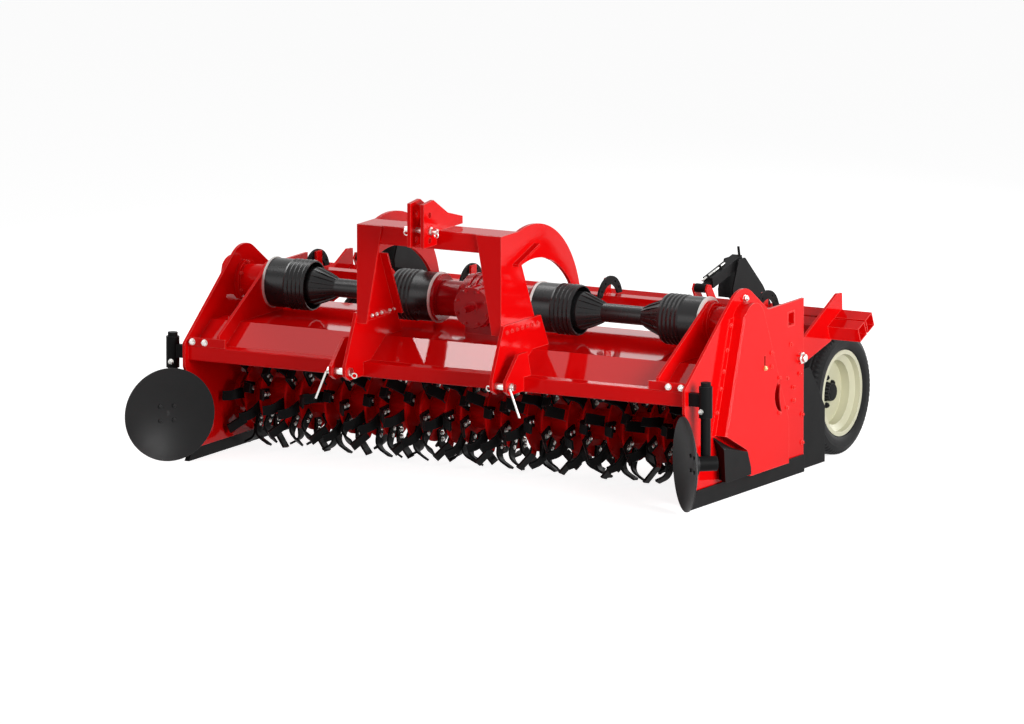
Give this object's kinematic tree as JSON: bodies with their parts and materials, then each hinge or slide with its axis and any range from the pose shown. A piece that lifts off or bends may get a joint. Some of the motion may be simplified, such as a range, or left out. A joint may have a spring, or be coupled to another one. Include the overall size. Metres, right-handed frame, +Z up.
{
  "type": "rotary bed former",
  "caption": "Wide rotary bed former for a tractor's three-point hitch, with a bladed rotor under a hood, ridging discs and a rear frame with depth wheels.",
  "frame": {"origin": "on the ground, in the middle of the machine's width and of its whole length", "axes": "+X across the machine to its right as seen from the tractor's side in the picture, +Y from the tractor backwards, +Z up"},
  "size_m": [3.4502, 2.4732, 1.556],
  "materials": {
    "red_paint": "gloss red paint",
    "dark_red_casting": "gloss dark red painted casting",
    "black_paint": "satin black paint",
    "black_plastic": "moulded black plastic",
    "pale_plastic": "pale bearing ring",
    "zinc_steel": "zinc-plated steel",
    "tyre_rubber": "new black tyre",
    "cream_paint": "cream paint"
  },
  "bodies": {
    "machine": {"front_beam": "red_paint", "hood": "red_paint", "side_plate_left": "red_paint", "side_plate_right": "red_paint", "side_cover_left": "red_paint", "side_cover_right": "red_paint", "case_guards": "black_paint", "skids": "black_paint", "wing_plates": "black_paint", "headstock_left": "red_paint", "headstock_right": "red_paint", "headstock_beam": "red_paint", "hitch_ears_left": "red_paint", "hitch_ears_right": "red_paint", "hitch_pins": "zinc_steel", "top_link_ears": "red_paint", "top_link_pin": "zinc_steel", "gearbox": "dark_red_casting", "shaft_guard_left": "black_plastic", "shaft_guard_right": "black_plastic", "guard_rings": "pale_plastic", "bearing_braces": "red_paint", "bearing_housings": "red_paint", "rear_cross_tube": "red_paint", "quadrants": "black_paint", "rotor_bearings": "red_paint", "disc_arm_left": "black_paint", "disc_arm_right": "black_paint"},
    "rotor_body": {"rotor": "red_paint"},
    "disc_left_body": {"disc_left": "black_paint"},
    "disc_right_body": {"disc_right": "black_paint"},
    "wheel_frame": {"frame_tubes": "red_paint", "swing_plates": "red_paint", "jack_towers": "black_paint", "wheel_legs": "red_paint"},
    "wheel_left": {"tyre_left": "tyre_rubber", "rim_left": "cream_paint", "hub_left": "black_paint"},
    "wheel_right": {"tyre_right": "tyre_rubber", "rim_right": "cream_paint", "hub_right": "black_paint"},
    "jack_left": {"jack_body_left": "black_paint"},
    "jack_rod_left_body": {"jack_rod_left": "zinc_steel"},
    "jack_right": {"jack_body_right": "black_paint"},
    "jack_rod_right_body": {"jack_rod_right": "zinc_steel"}
  },
  "joints": [
    {"name": "rotor_turn", "type": "hinge", "parent": "machine", "child": "rotor_body", "pos_m": [0, -0.33836, 0.296], "axis": [1, 0, 0], "continuous": true},
    {"name": "disc_left_turn", "type": "hinge", "parent": "machine", "child": "disc_left_body", "pos_m": [-1.552, -1.04936, 0.267], "axis": [-0.7431, 0.6691, 0], "continuous": true},
    {"name": "disc_right_turn", "type": "hinge", "parent": "machine", "child": "disc_right_body", "pos_m": [1.552, -1.04936, 0.267], "axis": [0.7431, 0.6691, 0], "continuous": true},
    {"name": "wheel_frame_lift", "type": "hinge", "parent": "machine", "child": "wheel_frame", "pos_m": [0, 0.33664, 0.618], "axis": [1, 0, 0], "range_deg": [-10, 6]},
    {"name": "wheel_left_turn", "type": "hinge", "parent": "wheel_frame", "child": "wheel_left", "pos_m": [-1.395, 0.90164, 0.335], "axis": [1, 0, 0], "continuous": true},
    {"name": "jack_left_swing", "type": "hinge", "parent": "wheel_frame", "child": "jack_left", "pos_m": [-1.028, 0.50164, 1.066], "axis": [1, 0, 0], "range_deg": [-2.5, 4]},
    {"name": "jack_left_screw", "type": "slide", "parent": "jack_left", "child": "jack_rod_left_body", "axis": [0, -0.9769, -0.2139], "range_m": [-0.043, 0.071]},
    {"name": "wheel_right_turn", "type": "hinge", "parent": "wheel_frame", "child": "wheel_right", "pos_m": [1.395, 0.90164, 0.335], "axis": [1, 0, 0], "continuous": true},
    {"name": "jack_right_swing", "type": "hinge", "parent": "wheel_frame", "child": "jack_right", "pos_m": [1.028, 0.50164, 1.066], "axis": [1, 0, 0], "range_deg": [-2.5, 4]},
    {"name": "jack_right_screw", "type": "slide", "parent": "jack_right", "child": "jack_rod_right_body", "axis": [0, -0.9769, -0.2139], "range_m": [-0.043, 0.071]}
  ],
  "couplings": [
    {"joint": "jack_left_swing", "follows": "wheel_frame_lift", "ratio": -0.33618},
    {"joint": "jack_left_screw", "follows": "wheel_frame_lift", "m_per_rad": -0.39808},
    {"joint": "jack_right_swing", "follows": "wheel_frame_lift", "ratio": -0.33618},
    {"joint": "jack_right_screw", "follows": "wheel_frame_lift", "m_per_rad": -0.39808}
  ]
}
